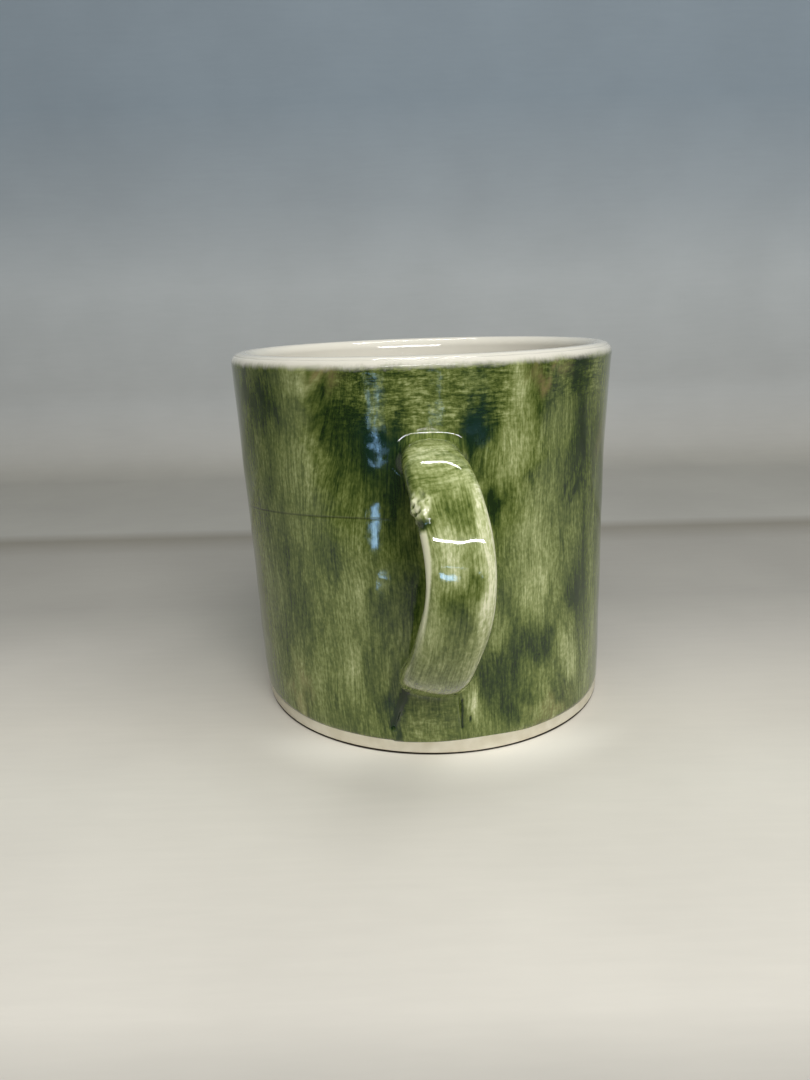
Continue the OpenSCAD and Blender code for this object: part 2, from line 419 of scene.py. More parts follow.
def make_wall_slab():
    """The clay wall, which stays just under both glazes, deeper behind the tab's tool marks."""
    angles = np.radians(np.arange(0, 360, 2.0))
    heights = np.linspace(BASE_THICK, CROWN_HEIGHT, 40)
    half = WALL_THICK / 2
    rows = []
    for h in heights:
        marks = between(h, 5, 9, 16, 20) * (np.cos(angles) > 0.9)
        outside = outside_radius(h) + unevenness(angles, h) - GLAZE - CLAY_GAP
        rows.append(place(angles, h, outside - 0.8 * marks))
    edge = wall_radius(angles, CROWN_HEIGHT) - GLAZE - half
    for t in np.linspace(0, math.pi, 13)[1:-1]:
        rows.append(place(angles, CROWN_HEIGHT + half * math.sin(t), edge + half * math.cos(t)))
    for h in heights[::-1]:
        rows.append(place(angles, h, inside_radius(angles, h)))
    count, columns = len(rows), len(angles)
    faces = ring_faces(count, columns) + belt((count - 1) * columns, 0, columns)
    return build("wall_slab", np.concatenate(rows), faces)


def inside_radius(angle, height):
    """Distance of the clay's inside from the axis."""
    return outside_radius(height) + unevenness(angle, height) - GLAZE - WALL_THICK


def liner_rows(angles, inset):
    """Rows of points from the floor's centre up the inside and over the rim, inset from the clay."""
    middle = inside_radius(angles, COIL_TOP) - COIL_RADIUS
    reach = COIL_RADIUS - inset
    size = WALL_THICK / 2 + inset
    rows = []
    for share in np.concatenate([[0.004], np.linspace(0.05, 1, 22)]):
        dip = 0.25 * smooth_noise(place(angles, 0, middle * share), 30, 8) * (1 - share**2)
        rows.append(place(angles, BASE_THICK + inset + dip, middle * share))
    for t in np.linspace(0, math.pi / 2, 14)[1:]:
        rows.append(place(angles, COIL_TOP - reach * math.cos(t), middle + reach * math.sin(t)))
    for h in np.linspace(COIL_TOP, CROWN_HEIGHT, 70)[1:]:
        rows.append(place(angles, h, inside_radius(angles, h) - inset))
    crown = wall_radius(angles, CROWN_HEIGHT) - GLAZE - WALL_THICK / 2
    for t in np.linspace(math.pi, CROWN_SEAM, 22)[1:]:
        rows.append(place(angles, CROWN_HEIGHT + size * math.sin(t), crown + size * math.cos(t)))
    return np.array(rows)


def make_liner_glaze():
    angles = np.radians(np.arange(0, 360, 1.0))
    outer, inner = liner_rows(angles, GLAZE), liner_rows(angles, 0)
    rows, columns = outer.shape[:2]
    count = rows * columns
    faces = ring_faces(rows, columns, 0, True) + ring_faces(rows, columns, count)
    last = (rows - 1) * columns
    faces += belt(count + last, last, columns)
    faces.append(tuple(range(columns)))
    faces.append(tuple(count + j for j in range(columns))[::-1])
    points = np.concatenate([outer.reshape(-1, 3), inner.reshape(-1, 3)])
    return build("liner_glaze", points, faces)


def make_base_slab():
    """Clay disc with a hollowed underside and a worn lower edge; its side is the bare foot band."""
    angles = np.radians(np.arange(0, 360, 1.5))
    wobble = 0.10 * np.sin(3 * angles + 1) + 0.06 * np.sin(7 * angles)
    side = FOOT_RADIUS - 0.05 + wobble
    bevel = 0.3
    gap = 0.5  # the thin shadow gap between the disc's edge and the table
    rows = []
    for share in (0.02, 0.3, 0.6, 0.85, 0.95, 1.0):
        hollow = 0.25 * (1 - share**2)
        rows.append(place(angles, hollow, (side - 1.4) * share))
    rows.append(place(angles, gap, side - 1.1))
    for t in np.linspace(0, math.pi / 2, 6):
        rise = gap + bevel * (1 - math.cos(t))
        rows.append(place(angles, rise, side - bevel + bevel * math.sin(t)))
    for h in (1.6, 2.4, 3.2, 4.0, 4.6):
        rows.append(place(angles, h, side + 0.03 * np.sin(13 * angles + h)))
    top = outside_radius(BASE_THICK) - GLAZE - CLAY_GAP
    for share in (1.0, 0.9, 0.6, 0.3, 0.02):
        rows.append(place(angles, BASE_THICK, top * share))
    return solid_of_rings("base_slab", np.array(rows))


def make_floor_coil():
    """Coil of clay smoothed into the inside corner."""
    angles = np.radians(np.arange(0, 360, 3.0))
    wall_foot = inside_radius(angles, COIL_TOP)
    rows = [place(angles, BASE_THICK, wall_foot)]
    for t in np.linspace(0, math.pi / 2, 9):
        rise = COIL_TOP - COIL_RADIUS * math.cos(t)
        rows.append(place(angles, rise, wall_foot - COIL_RADIUS + COIL_RADIUS * math.sin(t)))
    count, columns = len(rows), len(angles)
    faces = ring_faces(count, columns, 0, True) + belt(0, (count - 1) * columns, columns)
    return build("floor_coil", np.concatenate(rows), faces)


# -------- handle

HANDLE_TOP = 68.0
HANDLE_BOTTOM = 18.5
HANDLE_REACH = 27.0
STRAP_HALF_WIDTH = 6.2
STRAP_HALF_THICK = 3.0
STRAP_SHIFT = -2.4
STRAP_BOW = 5.4
BOW_POWER = 2.5
ROOT_SHIFT = 1.8
ROOT_SAG = 1.2
ROOT_SPAN = 0.12
CHIN_SHIFT = 0.8
CHIN_FLARE = 2.0
CHIN_RISE = (0.62, 0.82)  # where along the strap the chin at its lower end begins and is full
STRAP_LENGTH = 90.0
ANCHOR = FOOT_RADIUS - 3
STRAP_TWIST = math.radians(4)
CHIN_TWIST = math.radians(10)
STRAP_COLUMNS = 120
STRAP_ROWS = 300
FILLET_ROWS = 26
# Bezier points of the strap's middle line: distance from the axis, height
RUN = np.array([
    (ANCHOR, HANDLE_TOP),
    (ANCHOR + 1.45 * HANDLE_REACH, HANDLE_TOP + 13),
    (ANCHOR + 1.55 * HANDLE_REACH, HANDLE_BOTTOM + 7),
    (ANCHOR, HANDLE_BOTTOM),
])


def near_root(t):
    """1 at the upper root, fading to 0 along the strap."""
    return hump(t, 0, ROOT_SPAN)


def run_point(t):
    """Centre line of the strap as distance from the axis and height."""
    t = t[..., None]
    u = 1 - t
    curve = u**3 * RUN[0] + 3 * t * u**2 * RUN[1] + 3 * t * t * u * RUN[2] + t**3 * RUN[3]
    return curve - ROOT_SAG * near_root(t) * np.array([0, 1])


def run_slope(t):
    slope = run_point(t + 0.002) - run_point(t - 0.002)
    return slope / np.linalg.norm(slope, axis=-1, keepdims=True)


def strap_side(t):
    """How far the strap's middle lies to the right of the mug's own plane."""
    t = np.clip(t, 0, 1)
    side = STRAP_SHIFT + STRAP_BOW * np.sin(math.pi * t) ** BOW_POWER
    return side + ROOT_SHIFT * near_root(t) + CHIN_SHIFT * smooth_step(*CHIN_RISE, t)


def signed_power(x, power):
    return np.sign(x) * np.abs(x) ** power


def strap_section(t, around):
    """Across and outward places on the strap's section: soft near its roots, flatter between them."""
    c, s = np.cos(around), np.sin(around)
    left = c < 0
    chin = smooth_step(*CHIN_RISE, t)
    middle = smooth_step(0.12, 0.30, t) * (1 - chin)
    top_end = 1 - smooth_step(0.05, 0.12, t)
    power = 2 / (2.2 + 0.7 * middle + 1.2 * chin * left + 0.3 * top_end)
    half_width = STRAP_HALF_WIDTH - 0.9 * hump(t, 0.08, 0.10) - 0.5 * smooth_step(0.60, 0.76, t)
    flare = smooth_step(0.56, 0.84, t) * (1 - 0.8 * smooth_step(0.84, 0.97, t))
    half_width = half_width + CHIN_FLARE * flare * left
    half_thick = STRAP_HALF_THICK + 0.08 * np.sin(8 * t)
    across, outward = half_width * signed_power(c, power), half_thick * signed_power(s, power)
    normal_across = signed_power(c, 2 - power) / half_width
    normal_outward = signed_power(s, 2 - power) / half_thick
    return across, outward, normal_across, normal_outward


def rotate(x, y, turn):
    return x * np.cos(turn) - y * np.sin(turn), x * np.sin(turn) + y * np.cos(turn)


def strap_surface(t, around):
    """Point and outward normal of the strap at place t along it and angle around its section."""
    centre, slope = run_point(t), run_slope(t)
    twist = STRAP_TWIST * hump(t, 0.42, 0.20) + CHIN_TWIST * hump(t, 0.86, 0.12)
    across, outward, normal_across, normal_outward = strap_section(t, around)
    across, outward = rotate(across, outward, twist)
    normal_across, normal_outward = rotate(normal_across, normal_outward, twist)
    size = np.hypot(normal_across, normal_outward)
    normal_across, normal_outward = normal_across / size, normal_outward / size
    # sections stand square to the strap's run, which drifts sideways
    drift = np.arctan((strap_side(t + 0.005) - strap_side(t - 0.005)) / (0.01 * STRAP_LENGTH))
    along = -across * np.sin(drift)
    reach, rise = slope[..., 0], slope[..., 1]
    point = np.stack([
        strap_side(t) + across * np.cos(drift),
        -(centre[..., 0] + reach * along - rise * outward),
        centre[..., 1] + rise * along + reach * outward,
    ], -1)
    normal = np.stack([normal_across, rise * normal_outward, reach * normal_outward], -1)
    return point, normal


def height_above_wall(points):
    angle, height, radius = locate(points)
    return radius - wall_radius(angle, height)


def root_rows(start, end, fillet, around):
    """Rows from the wall up to the strap, curving out of the wall with each column's own fillet."""
    dense = np.linspace(start, end, 500)
    reach = []
    for ring_angle in around:
        points, _ = strap_surface(dense, np.full_like(dense, ring_angle))
        reach.append(np.maximum.accumulate(height_above_wall(points)))
    # two skirt rows beyond the curve run on along the wall and then dip under it
    profile = [(1 + 1.1 / fillet, -0.40 + 0 * fillet), (1 + 0.6 / fillet, -0.02 + 0 * fillet)]
    for turn in np.linspace(math.pi / 2, 0, FILLET_ROWS):
        profile.append((1 - math.cos(turn) + 0 * fillet, fillet * (1 - math.sin(turn))))
    rows, places = [], []
    for aside, rise in profile:
        t = np.array([np.interp(max(r, 0), h, dense) for r, h in zip(rise, reach)])
        point, normal = strap_surface(t, around)
        angle, _, _ = locate(point)
        outward = np.stack([np.sin(angle), -np.cos(angle), 0 * angle], -1)
        along = normal - (normal * outward).sum(-1, keepdims=True) * outward
        along /= np.linalg.norm(along, axis=-1, keepdims=True)
        angle, height, _ = locate(point + along * (aside * fillet)[:, None])
        rows.append(place(angle, height, wall_radius(angle, height) + rise))
        places.append(t)
    return np.array(rows), np.array(places)


def handle_surface():
    """Rows of the handle's finished surface from the upper root to the lower one, with their places."""
    around = 2 * math.pi * (np.arange(STRAP_COLUMNS) + 0.5) / STRAP_COLUMNS
    # fillet radii in mm, larger at some sides of the strap
    right, outer = np.clip(np.cos(around), 0, 1), np.clip(np.sin(around), 0, 1)
    left, under = np.clip(-np.cos(around), 0, 1), np.clip(-np.sin(around), 0, 1)
    upper_fillet = 1.8 + 1.2 * right**2 + 1.4 * left**2
    lower_fillet = 0.5 + 0.8 * right + 2.4 * outer**2 + 0.5 * under
    upper, t_upper = root_rows(0.0, 0.35, upper_fillet, around)
    lower, t_lower = root_rows(1.0, 0.65, lower_fillet, around)
    share = np.linspace(0, 1, STRAP_ROWS)[1:-1, None]
    t = t_upper[-1] + (t_lower[-1] - t_upper[-1]) * share
    strap, _ = strap_surface(t, np.broadcast_to(around, t.shape))
    rows = np.concatenate([upper, strap, lower[::-1]])
    places = np.concatenate([t_upper, t, t_lower[::-1]])
    return rows, places, around, len(upper), len(strap)


def surface_normals(grid):
    """Outward normals of a grid whose columns close on themselves."""
    along = np.gradient(grid, axis=0)
    across = np.roll(grid, -1, axis=1) - np.roll(grid, 1, axis=1)
    normal = np.cross(across, along)
    normal /= np.linalg.norm(normal, axis=-1, keepdims=True) + 1e-12
    return normal


# Marks on the strap: place along it (0 upper root, 1 lower root), mm across its outer face, half
# length as a share, half width in mm, strength
STRAP_MARKS = [
    (0.15, 0.0, 0.06, 5.0, -0.03), (0.235, 1.8, 0.03, 2.6, -0.12), (0.262, -0.6, 0.02, 2.6, 0.11),
    (0.30, 0.6, 0.02, 2.4, 0.08), (0.345, 1.2, 0.028, 2.6, 0.22), (0.335, -1.8, 0.02, 1.5, 0.08),
    (0.375, 2.2, 0.018, 1.8, 0.14), (0.40, -1.2, 0.02, 3.0, -0.10), (0.45, -0.6, 0.045, 3.5, -0.11),
    (0.492, 3.3, 0.013, 1.2, 0.26), (0.517, 2.6, 0.02, 1.3, 0.24), (0.55, -0.9, 0.03, 2.2, 0.30),
    (0.60, 0.5, 0.04, 3.0, 0.22), (0.585, 3.4, 0.03, 0.8, -0.20), (0.68, -1.0, 0.06, 4.0, 0.17),
    (0.76, 0.0, 0.06, 5.0, 0.15), (0.84, 0.0, 0.06, 5.0, 0.12),
]


def strap_paint(t, across, outward, points):
    """Green on the strap: pale along its right edge, bare along its left side, with painted shade on
    its left flank near the upper root.
    """
    wander = 0.5 * smooth_noise(points, 5, 33) + 0.25 * smooth_noise(points, 2, 34)
    paint = 0.405 + 0.06 * smooth_noise(points, 9, 31)
    for mark_t, mark_across, long, wide, strength in STRAP_MARKS:
        spot = ((t - mark_t) / long + 0.4 * wander) ** 2 + ((across - mark_across + wander) / wide) ** 2
        paint = paint + strength * np.exp(-spot) * smooth_step(-0.5, 1.5, outward)
    middle = between(t, 0.27, 0.33, 0.74, 0.85) * (1 - 0.75 * smooth_step(0.50, 0.66, t))
    right = smooth_step(2.4, 5.2, across + 0.5 * wander) * smooth_step(-2.6, -1.0, outward)
    paint = paint - 0.35 * right * middle
    # painted shade: the left flank near the upper root is darkened as if turned away from the light
    flank_shade = smooth_step(4.4, 5.2, -across) * (1 - smooth_step(0.27, 0.30, t))
    paint = paint + 0.22 * flank_shade
    under = smooth_step(0.5, -1.5, outward)
    return paint + 0.12 * under


def bare_side(t, across, outward):
    """1 on the strap's left side, where the green was wiped off the cut edge."""
    edge = 4.7 + 0.7 * smooth_step(0.43, 0.56, t)
    left = smooth_step(edge, edge + 0.5, -across)
    stretch = between(t, 0.372, 0.388, 0.50, 0.70)
    return left * stretch * smooth_step(-3.0, -2.4, outward)


CRUMB_PLACE = 0.328
CRUMB_HALF_LENGTH = 0.031
CRUMB_ACROSS = -5.3
CRUMB_OUTWARD = 1.7
NICK_PLACE = 0.363
NICK_HALF_LENGTH = 0.014


def crumb(t, across, outward, points):
    """Torn clay on the strap's upper left corner: how far it stands out, and how deep its pits are."""
    corner = np.hypot((across - CRUMB_ACROSS) * 0.9, outward - CRUMB_OUTWARD)
    ragged = 0.5 * smooth_noise(points, 2.4, 41) + 0.25 * smooth_noise(points, 1.0, 45)
    reach = 1 - smooth_step(1.3, 2.3, corner + ragged)
    ends = ((t - CRUMB_PLACE) / CRUMB_HALF_LENGTH + 0.2 * smooth_noise(points, 3, 44)) ** 4
    mask = reach * np.exp(-ends)
    lumps = 0.8 * smooth_noise(points, 2.0, 42) + 0.8 * smooth_noise(points, 1.0, 43)
    holes = smooth_noise(points, 1.7, 47) + 0.5 * smooth_noise(points, 0.9, 48)
    pits = mask * smooth_step(0.35, 0.75, holes)
    nick = hump(corner, 0, 1.5) * hump(t, NICK_PLACE, NICK_HALF_LENGTH)
    stand = mask * (0.45 + 0.12 * lumps) - 0.40 * pits - 0.3 * nick
    return stand, mask, np.clip(0.9 * pits + 1.3 * nick, 0, 1)


def handle_grid():
    """The handle's surface with its torn edge and hand-made waves, and the attributes of its paint."""
    surface, t, around, upper_rows, strap_rows = handle_surface()
    normal = surface_normals(surface)
    across, outward, _, _ = strap_section(t, np.broadcast_to(around, t.shape))
    above = height_above_wall(surface)
    on_strap = smooth_step(1.0, 5.0, above)
    stand, mask, pits = crumb(t, across, outward, surface)
    waves = 0.035 * smooth_noise(surface, 14, 51) + 0.006 * smooth_noise(surface, 5, 52)
    surface = surface + normal * (stand + waves * on_strap)[..., None]
    angle, height, _ = locate(surface)
    grime = 0.20 + 0.35 * smooth_noise(surface, 1.6, 46)
    bare = np.clip(bare_side(t, across, outward) + grime * mask, 0, 1) * (1 - pits)
    paint = on_strap * strap_paint(t, across, outward, surface)
    paint = paint + (1 - on_strap) * wall_paint(angle, height)
    paint = paint * (1 - mask) + 0.28 * mask
    attributes = {
        "paint": paint * (1 - bare) + 0.62 * pits,
        "bare": bare,
        "on_strap": on_strap,
        "crosswise": crosswise(angle, height),
        "across_strap": 1 - smooth_step(0.25, 0.34, t + 0.02 * smooth_noise(surface, 4, 53)),
        "pool_and_shade": add_marks(POOLS_AND_SHADE, angle, height, 0.7) * (1 - on_strap),
        "brown": 0 * t,
        "brush": brush_place(angle, height),
        "strap_brush": np.stack([across, 1.2 * outward, STRAP_LENGTH * t + 0.035 * across**2], -1),
    }
    return surface, attributes, upper_rows, strap_rows


def make_handle():
    surface, attributes, upper_rows, strap_rows = handle_grid()
    normal = surface_normals(surface)
    glaze = shell("handle_glaze", surface, surface - normal * GLAZE, attributes)
    core = surface - normal * (GLAZE + 0.02)
    upper = solid_of_rings("handle_upper_root", core[:upper_rows + 1])
    strap = solid_of_rings("handle_strap", core[upper_rows:upper_rows + strap_rows])
    lower = solid_of_rings("handle_lower_root", core[upper_rows + strap_rows - 1:])
    return glaze, upper, strap, lower


# -------- node graph helper


class Graph:
    """Short names for building a material's nodes."""

    def __init__(self, name):
        self.material = bpy.data.materials.new(name)
        self.material.use_nodes = True
        self.nodes = self.material.node_tree.nodes
        self.links = self.material.node_tree.links
        self.shader = self.nodes["Principled BSDF"]

    def feed(self, socket, value):
        if isinstance(value, bpy.types.NodeSocket):
            self.links.new(value, socket)
        else:
            socket.default_value = value

    def attribute(self, name, output="Fac"):
        node = self.nodes.new("ShaderNodeAttribute")
        node.attribute_name = name
        return node.outputs[output]

    def axes(self, vector):
        node = self.nodes.new("ShaderNodeSeparateXYZ")
        self.feed(node.inputs[0], vector)
        return node.outputs

    def vectors(self, operation, a, b=(0, 0, 0)):
        node = self.nodes.new("ShaderNodeVectorMath")
        node.operation = operation
        self.feed(node.inputs[0], a)
        self.feed(node.inputs[1], b)
        return node.outputs["Value" if operation == "LENGTH" else "Vector"]

    def scale(self, vector, amounts):
        return self.vectors("MULTIPLY", vector, amounts)

    def position(self):
        """Place in the shared frame, in millimetres."""
        place_ = self.nodes.new("ShaderNodeNewGeometry").outputs["Position"]
        return self.scale(place_, (1 / MM, 1 / MM, 1 / MM))

    def noise(self, vector, scale, detail, rough, colour=False):
        node = self.nodes.new("ShaderNodeTexNoise")
        self.feed(node.inputs["Vector"], vector)
        node.inputs["Scale"].default_value = scale
        node.inputs["Detail"].default_value = detail
        node.inputs["Roughness"].default_value = rough
        return node.outputs["Color" if colour else "Fac"]

    def math(self, operation, a, b=0.0, c=0.0):
        node = self.nodes.new("ShaderNodeMath")
        node.operation = operation
        for socket, value in zip(node.inputs, (a, b, c)):
            self.feed(socket, value)
        return node.outputs[0]

    def ramp(self, value, stops):
        node = self.nodes.new("ShaderNodeValToRGB")
        self.feed(node.inputs[0], value)
        elements = node.color_ramp.elements
        while len(elements) < len(stops):
            elements.new(0.5)
        for element, (place_, colour) in zip(elements, stops):
            element.position = place_
            element.color = colour
        return node.outputs[0]

    def fade(self, value, low, high, out_low=0.0, out_high=1.0):
        node = self.nodes.new("ShaderNodeMapRange")
        node.interpolation_type = "SMOOTHSTEP"
        for socket, v in zip(node.inputs, (value, low, high, out_low, out_high)):
            self.feed(socket, v)
        return node.outputs[0]

    def mix(self, amount, a, b, blend="MIX"):
        node = self.nodes.new("ShaderNodeMix")
        node.data_type = "RGBA"
        node.blend_type = blend
        for index, value in ((0, amount), (6, a), (7, b)):
            self.feed(node.inputs[index], value)
        return node.outputs[2]

    def blend_values(self, amount, a, b):
        node = self.nodes.new("ShaderNodeMix")
        for index, value in ((0, amount), (2, a), (3, b)):
            self.feed(node.inputs[index], value)
        return node.outputs[0]

    def weigh(self, total, value, weight):
        """total + (value - 0.5) * weight"""
        centred = self.math("SUBTRACT", value, 0.5)
        return self.math("MULTIPLY_ADD", centred, weight, total)

    def bump(self, height, strength, distance):
        node = self.nodes.new("ShaderNodeBump")
        self.feed(node.inputs["Height"], height)
        node.inputs["Strength"].default_value = strength
        node.inputs["Distance"].default_value = distance
        self.links.new(node.outputs[0], self.shader.inputs["Normal"])

    def surface(self, colour, roughness):
        """The finished material."""
        self.feed(self.shader.inputs["Base Color"], colour)
        self.shader.inputs["Roughness"].default_value = roughness
        return self.material


def rgb(red, green, blue):
    """Linear colour with full alpha from 0-255 screen values."""
    def linear(v):
        v /= 255
        return v / 12.92 if v <= 0.04045 else ((v + 0.055) / 1.055) ** 2.4
    return linear(red), linear(green), linear(blue), 1.0


# -------- materials

CREAM = rgb(214, 210, 196)
INSIDE_STOPS = [(0.35, rgb(190, 182, 167)), (0.65, rgb(202, 194, 180))]
CLAY_STOPS = [(0.3, rgb(198, 190, 167)), (0.7, rgb(217, 211, 192))]
GREEN_STOPS = [
    (0.00, rgb(226, 226, 190)), (0.15, rgb(190, 195, 147)), (0.30, rgb(157, 165, 111)),
    (0.45, rgb(126, 136, 80)), (0.60, rgb(96, 108, 52)), (0.75, rgb(69, 83, 34)),
    (0.90, rgb(43, 60, 21)), (1.00, rgb(27, 44, 16)),
]
# dark blue-green of pooled glaze, also painted shade in the recesses beside the handle's upper root
POOL_AND_SHADE_GREEN = rgb(8, 40, 28)
BROWN = rgb(160, 136, 98)
WIPED_EDGE = rgb(224, 224, 190)
SCRATCH_DARK = rgb(44, 52, 22)
SCRATCH_HEIGHT = 55.0
SCRATCH_TOP = 9.0  # degrees left of the handle at which the scratch is highest
RIM_PALE = (HEIGHT - 2.8, HEIGHT - 1.0)  # heights between which the green gives way to cream
GLAZE_ROUGHNESS = 0.06
GLAZE_IOR = 1.5
CLAY_ROUGHNESS = 0.7
STAGE_ROUGHNESS = 0.85

# The floor's colour from front to back, with a grey edge in front, painted shade that darkens it
# towards the back and a seam behind the mug, and the backdrop's colour from low to high
FLOOR_STOPS = [
    (0.08, rgb(76, 73, 67)), (0.18, rgb(182, 178, 169)), (0.22, rgb(215, 210, 199)),
    (0.36, rgb(211, 207, 195)), (0.43, rgb(203, 198, 186)), (0.55, rgb(180, 176, 167)),
    (0.64, rgb(161, 158, 150)), (0.80, rgb(156, 153, 145)), (0.855, rgb(137, 133, 122)),
    (0.89, rgb(164, 162, 154)), (1.0, rgb(161, 159, 151)),
]
BACKDROP_STOPS = [
    (0.05, rgb(168, 167, 161)), (0.16, rgb(176, 178, 176)), (0.44, rgb(178, 183, 184)),
    (0.63, rgb(155, 163, 168)), (0.85, rgb(134, 146, 155)),
]
FLOOR_DEPTH = 400
BACKDROP_HEIGHT = 250
MOTTLE_STOPS = [(0.3, (0.93, 0.93, 0.93, 1)), (0.7, (1, 1, 1, 1))]
# painted light on the floor in front of the foot
FLOOR_LIT = rgb(246, 242, 230)
FLOOR_LIT_REACH = 16
# painted contact shadow on the floor under the foot's edge
CONTACT_SHADOW = rgb(52, 44, 36)


def strokes(graph, place_, crosswise_amount, crosswise_strength):
    """Fine and wide brush strokes along the third axis, or across it where crosswise_amount is 1."""
    warp = graph.noise(graph.scale(place_, (0.10, 0.10, 0.07)), 1.0, 1.0, 0.5, colour=True)
    bent = graph.vectors("ADD", place_, graph.scale(warp, (2.4, 2.4, 1.0)))

    def layer(amounts, rough):
        return graph.noise(graph.scale(bent, amounts), 1.0, 3.0, rough)

    fibre, level_fibre = layer((2.4, 2.4, 0.13), 0.72), layer((0.36, 0.36, 1.6), 0.75)
    streak, level_streak = layer((0.50, 0.50, 0.06), 0.62), layer((0.16, 0.16, 0.62), 0.6)
    fine = graph.blend_values(crosswise_amount, fibre, level_fibre)
    wide = graph.blend_values(crosswise_amount, streak, level_streak)
    strength = graph.fade(crosswise_amount, 0, 1, 0.9, crosswise_strength)
    fine = graph.weigh(0.5, graph.fade(fine, 0.27, 0.73), strength)
    mottle = layer((1.7, 1.7, 1.0), 0.6)
    return fine, graph.fade(wide, 0.25, 0.75), graph.fade(mottle, 0.25, 0.75)


def gloss(graph, colour, fine, dent=None):
    """Wet-looking glaze that follows its brush strokes a little."""
    graph.shader.inputs["IOR"].default_value = GLAZE_IOR
    swell = graph.noise(graph.position(), 0.30, 1.0, 0.4)
    height = graph.math("MULTIPLY_ADD", fine, 0.05, swell)
    if dent is not None:
        height = graph.math("ADD", height, dent)
    graph.bump(height, 0.30, 0.0002)
    return graph.surface(colour, GLAZE_ROUGHNESS)


def scratch(graph):
    """1 along a thin scratch round the left of the wall, a little lower far from the handle."""
    away = graph.math("ADD", graph.attribute("turn"), SCRATCH_TOP)
    fall = graph.math("MULTIPLY", graph.math("MULTIPLY", away, away), 0.00085)
    above = graph.math("SUBTRACT", graph.attribute("height"), SCRATCH_HEIGHT)
    off = graph.math("ABSOLUTE", graph.math("ADD", above, fall))
    span = graph.math("MULTIPLY", graph.fade(away, -68, -58), graph.fade(away, -6, 4, 1.0, 0.0))
    return graph.math("MULTIPLY", graph.fade(off, 0.08, 0.34, 1.0, 0.0), span)


def green_material(name, handle=False):
    """Green brushed thinly over cream: shades follow how thick the green lies and the painted shade
    beside the handle.
    """
    graph = Graph(name)
    layers = strokes(graph, graph.attribute("brush", "Vector"), graph.attribute("crosswise"), 1.7)
    if handle:
        on_strap = graph.attribute("on_strap")
        brush = graph.attribute("strap_brush", "Vector")
        strap = strokes(graph, brush, graph.attribute("across_strap"), 1.0)
        layers = [graph.blend_values(on_strap, a, b) for a, b in zip(layers, strap)]
    fine, wide, mottle = layers
    paint = graph.weigh(graph.attribute("paint"), fine, 0.29)
    paint = graph.weigh(paint, wide, 0.20)
    paint = graph.weigh(paint, mottle, 0.20)
    green = graph.ramp(paint, GREEN_STOPS)
    # pooled glaze, and painted shade in the recesses beside the handle's upper root
    pool_and_shade = graph.math("MULTIPLY", graph.attribute("pool_and_shade"), graph.fade(paint, 0.35, 0.8))
    green = graph.mix(graph.math("MULTIPLY", pool_and_shade, 0.85), green, POOL_AND_SHADE_GREEN)
    brown = graph.math("MULTIPLY", graph.attribute("brown"), graph.fade(fine, 0.1, 0.9, 0.25, 0.65))
    green = graph.mix(brown, green, BROWN)
    if handle:
        return gloss(graph, graph.mix(graph.attribute("bare"), green, WIPED_EDGE), fine)
    line = scratch(graph)
    green = graph.mix(graph.math("MULTIPLY", line, 0.62), green, SCRATCH_DARK)
    ragged = graph.weigh(graph.attribute("height"), wide, 0.6)
    ragged = graph.weigh(ragged, mottle, 0.3)
    colour = graph.mix(graph.fade(ragged, *RIM_PALE), green, CREAM)
    return gloss(graph, colour, fine, graph.math("MULTIPLY", line, -0.35))


def cream_glaze_material():
    graph = Graph("cream_glaze")
    position = graph.position()
    cloud = graph.noise(position, 0.06, 3.0, 0.5)
    near_rim = graph.fade(graph.axes(position)[2], 60, HEIGHT - 2)
    return gloss(graph, graph.mix(near_rim, graph.ramp(cloud, INSIDE_STOPS), CREAM), cloud)


def bare_clay_material():
    graph = Graph("bare_clay")
    position = graph.position()
    graph.bump(graph.noise(position, 3.0, 4.0, 0.6), 0.4, 0.0001)
    cloud = graph.noise(position, 0.25, 3.0, 0.5)
    return graph.surface(graph.ramp(cloud, CLAY_STOPS), CLAY_ROUGHNESS)


def stage_material():
    """Pale warm floor with painted shade that dulls it towards the back, painted light in front of the
    foot and a painted contact shadow under it, and a cool grey backdrop that darkens upwards.
    """
    graph = Graph("stage")
    position = graph.position()
    _, depth, height = graph.axes(position)
    floor = graph.ramp(graph.math("MULTIPLY_ADD", depth, 1 / FLOOR_DEPTH, 0.5), FLOOR_STOPS)
    backdrop = graph.ramp(graph.math("MULTIPLY", height, 1 / BACKDROP_HEIGHT), BACKDROP_STOPS)
    colour = graph.mix(graph.fade(height, 1, 14), floor, backdrop)
    cloud = graph.noise(position, 0.02, 4.0, 0.5)
    grain = graph.noise(graph.scale(position, (0.05, 0.45, 0.45)), 1.0, 4.0, 0.65)
    shade = graph.ramp(graph.weigh(cloud, grain, 0.45), MOTTLE_STOPS)
    colour = graph.mix(1, colour, shade, "MULTIPLY")
    # painted light: the floor is paler in front of the foot, standing in for light bounced off the foot
    # band; painted contact shadow: dark where the foot nearly touches it
    away = graph.vectors("LENGTH", graph.scale(position, (1, 1, 0)))
    near = graph.fade(away, FOOT_RADIUS, FOOT_RADIUS + FLOOR_LIT_REACH, 0.75, 0.0)
    in_front = graph.fade(depth, -44, -28, 1.0, 0.0)
    colour = graph.mix(graph.math("MULTIPLY", near, in_front), colour, FLOOR_LIT)
    under = graph.fade(away, FOOT_RADIUS - 0.5, FOOT_RADIUS - 0.1, 1.0, 0.0)
    return graph.surface(graph.mix(under, colour, CONTACT_SHADOW), STAGE_ROUGHNESS)


# -------- stage and light


